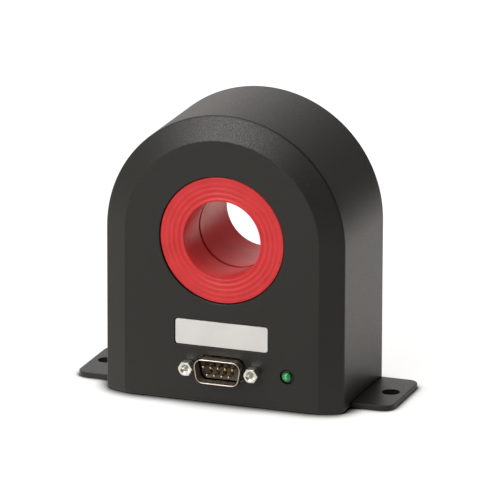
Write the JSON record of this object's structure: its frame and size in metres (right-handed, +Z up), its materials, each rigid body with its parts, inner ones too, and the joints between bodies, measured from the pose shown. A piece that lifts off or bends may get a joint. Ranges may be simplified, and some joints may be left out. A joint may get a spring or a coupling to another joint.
{
  "type": "fluxgate current transducer",
  "caption": "Arched black current transducer on a plate with two mounting ears, with a red bushing through it for the cable, a D-shaped pin connector and a status lamp.",
  "frame": {"origin": "underside of the mounting plate, midway between its two mounting holes", "axes": "+Z up through the arch, +X towards the viewer's right seen from the front, the connector's side faces -Y"},
  "size_m": [0.1214, 0.0513, 0.1068],
  "materials": {
    "black_powder_coat": "satin black powder coat",
    "red_plastic": "satin red moulded plastic",
    "silver_plate": "satin silver",
    "nickel_plate": "nickel plated",
    "zinc_steel": "zinc plated",
    "black_plastic": "matte black",
    "gold_plate": "gold plated",
    "green_lens": "clear green",
    "green_board": "lacquered board",
    "core_tape": "wound alloy tape",
    "copper_wire": "enamelled copper wire",
    "grey_foam": "matte",
    "bare_aluminium": "as extruded",
    "blue_sleeve": "shrunk plastic sleeve",
    "wire_jacket": "yellow wire insulation"
  },
  "bodies": {
    "root": {"housing_shell": "black_powder_coat", "back_cover": "black_powder_coat", "mounting_plate": "black_powder_coat", "front_bushing": "red_plastic", "rear_bushing": "red_plastic", "name_plate": "silver_plate", "connector_shell": "nickel_plate", "connector_insulator": "black_plastic", "connector_pin_1": "gold_plate", "connector_pin_2": "gold_plate", "connector_pin_3": "gold_plate", "connector_pin_4": "gold_plate", "connector_pin_5": "gold_plate", "connector_pin_6": "gold_plate", "connector_pin_7": "gold_plate", "connector_pin_8": "gold_plate", "connector_pin_9": "gold_plate", "jackscrew_left": "zinc_steel", "jackscrew_right": "zinc_steel", "jackscrew_nut_left": "zinc_steel", "jackscrew_nut_right": "zinc_steel", "status_led": "green_lens", "led_spacer": "black_plastic", "main_board": "green_board", "board_screw_1": "zinc_steel", "board_screw_2": "zinc_steel", "board_screw_3": "zinc_steel", "board_screw_4": "zinc_steel", "cover_screw_1": "zinc_steel", "cover_screw_2": "zinc_steel", "cover_screw_3": "zinc_steel", "cover_screw_4": "zinc_steel", "cover_screw_5": "zinc_steel", "cover_screw_6": "zinc_steel", "base_screw_1": "zinc_steel", "base_screw_2": "zinc_steel", "base_screw_3": "zinc_steel", "base_screw_4": "zinc_steel", "fluxgate_core_front": "core_tape", "fluxgate_core_rear": "core_tape", "feedback_core": "core_tape", "excitation_winding_front": "copper_wire", "excitation_winding_rear": "copper_wire", "compensation_winding": "copper_wire", "front_spacer_ring": "grey_foam", "rear_spacer_ring": "grey_foam", "winding_lead_left": "wire_jacket", "winding_lead_right": "wire_jacket", "shunt_resistor": "black_plastic", "controller_chip": "black_plastic", "dc_converter": "black_plastic", "filter_capacitor_1": "blue_sleeve", "filter_capacitor_2": "blue_sleeve", "output_amplifier_1": "black_plastic", "output_amplifier_2": "black_plastic", "heat_spreader": "bare_aluminium"}
  },
  "joints": []
}
